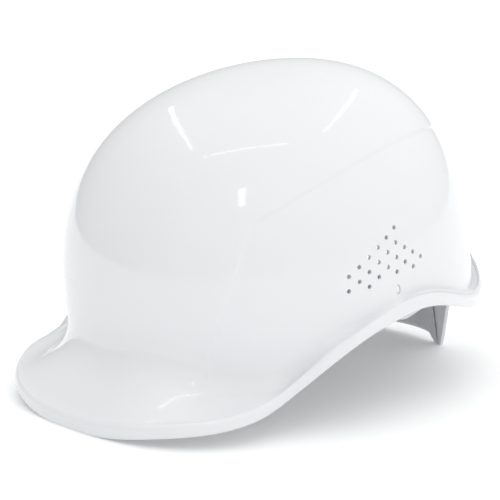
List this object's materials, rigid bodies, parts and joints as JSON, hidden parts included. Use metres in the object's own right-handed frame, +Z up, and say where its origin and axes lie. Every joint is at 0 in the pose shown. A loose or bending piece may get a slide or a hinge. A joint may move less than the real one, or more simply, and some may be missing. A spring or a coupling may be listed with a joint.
{
  "type": "bump cap",
  "caption": "Short-billed protective bump cap: domed shell with vented sides and recessed side panels over an adjustable inner headband, crown straps, brow pad and low nape strap.",
  "frame": {"origin": "centre of the bounding box's base, on the floor the cap rests on", "axes": "+Y to the wearer's back, +X to the wearer's left, +Z up; the cap rests on its bill and nape strap, so the cap's own upright axis leans 11 degrees forward"},
  "size_m": [0.2034, 0.2576, 0.1639],
  "materials": {
    "shell_plastic": "glossy moulded polyethylene",
    "suspension_plastic": "satin moulded polyethylene",
    "rivet_plastic": "satin moulded nylon",
    "webbing": "woven polyester tape",
    "brow_fabric": "brushed knit over foam",
    "nape_fabric": "smooth knit over foam"
  },
  "bodies": {
    "shell": {"shell": "shell_plastic", "side_stud_left": "suspension_plastic", "side_stud_right": "suspension_plastic"},
    "hanger": {"crown_strap_front_left": "webbing", "crown_strap_front_right": "webbing", "crown_rivet": "rivet_plastic", "hanger_key_front_left": "suspension_plastic", "hanger_key_front_right": "suspension_plastic", "hanger_key_rear_left": "suspension_plastic", "hanger_key_rear_right": "suspension_plastic", "strap_rivet_front_left": "rivet_plastic", "strap_rivet_front_right": "rivet_plastic", "strap_rivet_rear_left": "rivet_plastic", "strap_rivet_rear_right": "rivet_plastic"},
    "headband": {"headband": "suspension_plastic", "height_stud_front_left": "suspension_plastic", "height_stud_front_right": "suspension_plastic", "height_stud_rear_left": "suspension_plastic", "height_stud_rear_right": "suspension_plastic"},
    "brow_pad": {"brow_pad": "brow_fabric"},
    "nape_studs": {"nape_stud_left": "suspension_plastic", "nape_stud_right": "suspension_plastic"},
    "nape_strap": {"nape_strap": "suspension_plastic", "nape_pad": "nape_fabric"}
  },
  "joints": [
    {"name": "suspension_release", "type": "slide", "parent": "shell", "child": "hanger", "axis": [0, 0.1908, -0.9816], "range_m": [0, 0.12]},
    {"name": "headband_height", "type": "slide", "parent": "hanger", "child": "headband", "axis": [0, -0.1908, 0.9816], "range_m": [-0.004, 0.004]},
    {"name": "brow_pad_release", "type": "slide", "parent": "headband", "child": "brow_pad", "axis": [0, 0.1908, -0.9816], "range_m": [0, 0.045]},
    {"name": "nape_tilt", "type": "hinge", "parent": "headband", "child": "nape_studs", "pos_m": [0, 0.034, 0.05495], "axis": [1, 0, 0], "range_deg": [-5, 4]},
    {"name": "nape_size", "type": "slide", "parent": "nape_studs", "child": "nape_strap", "axis": [0, 0.9816, 0.1908], "range_m": [0, 0.01]}
  ]
}
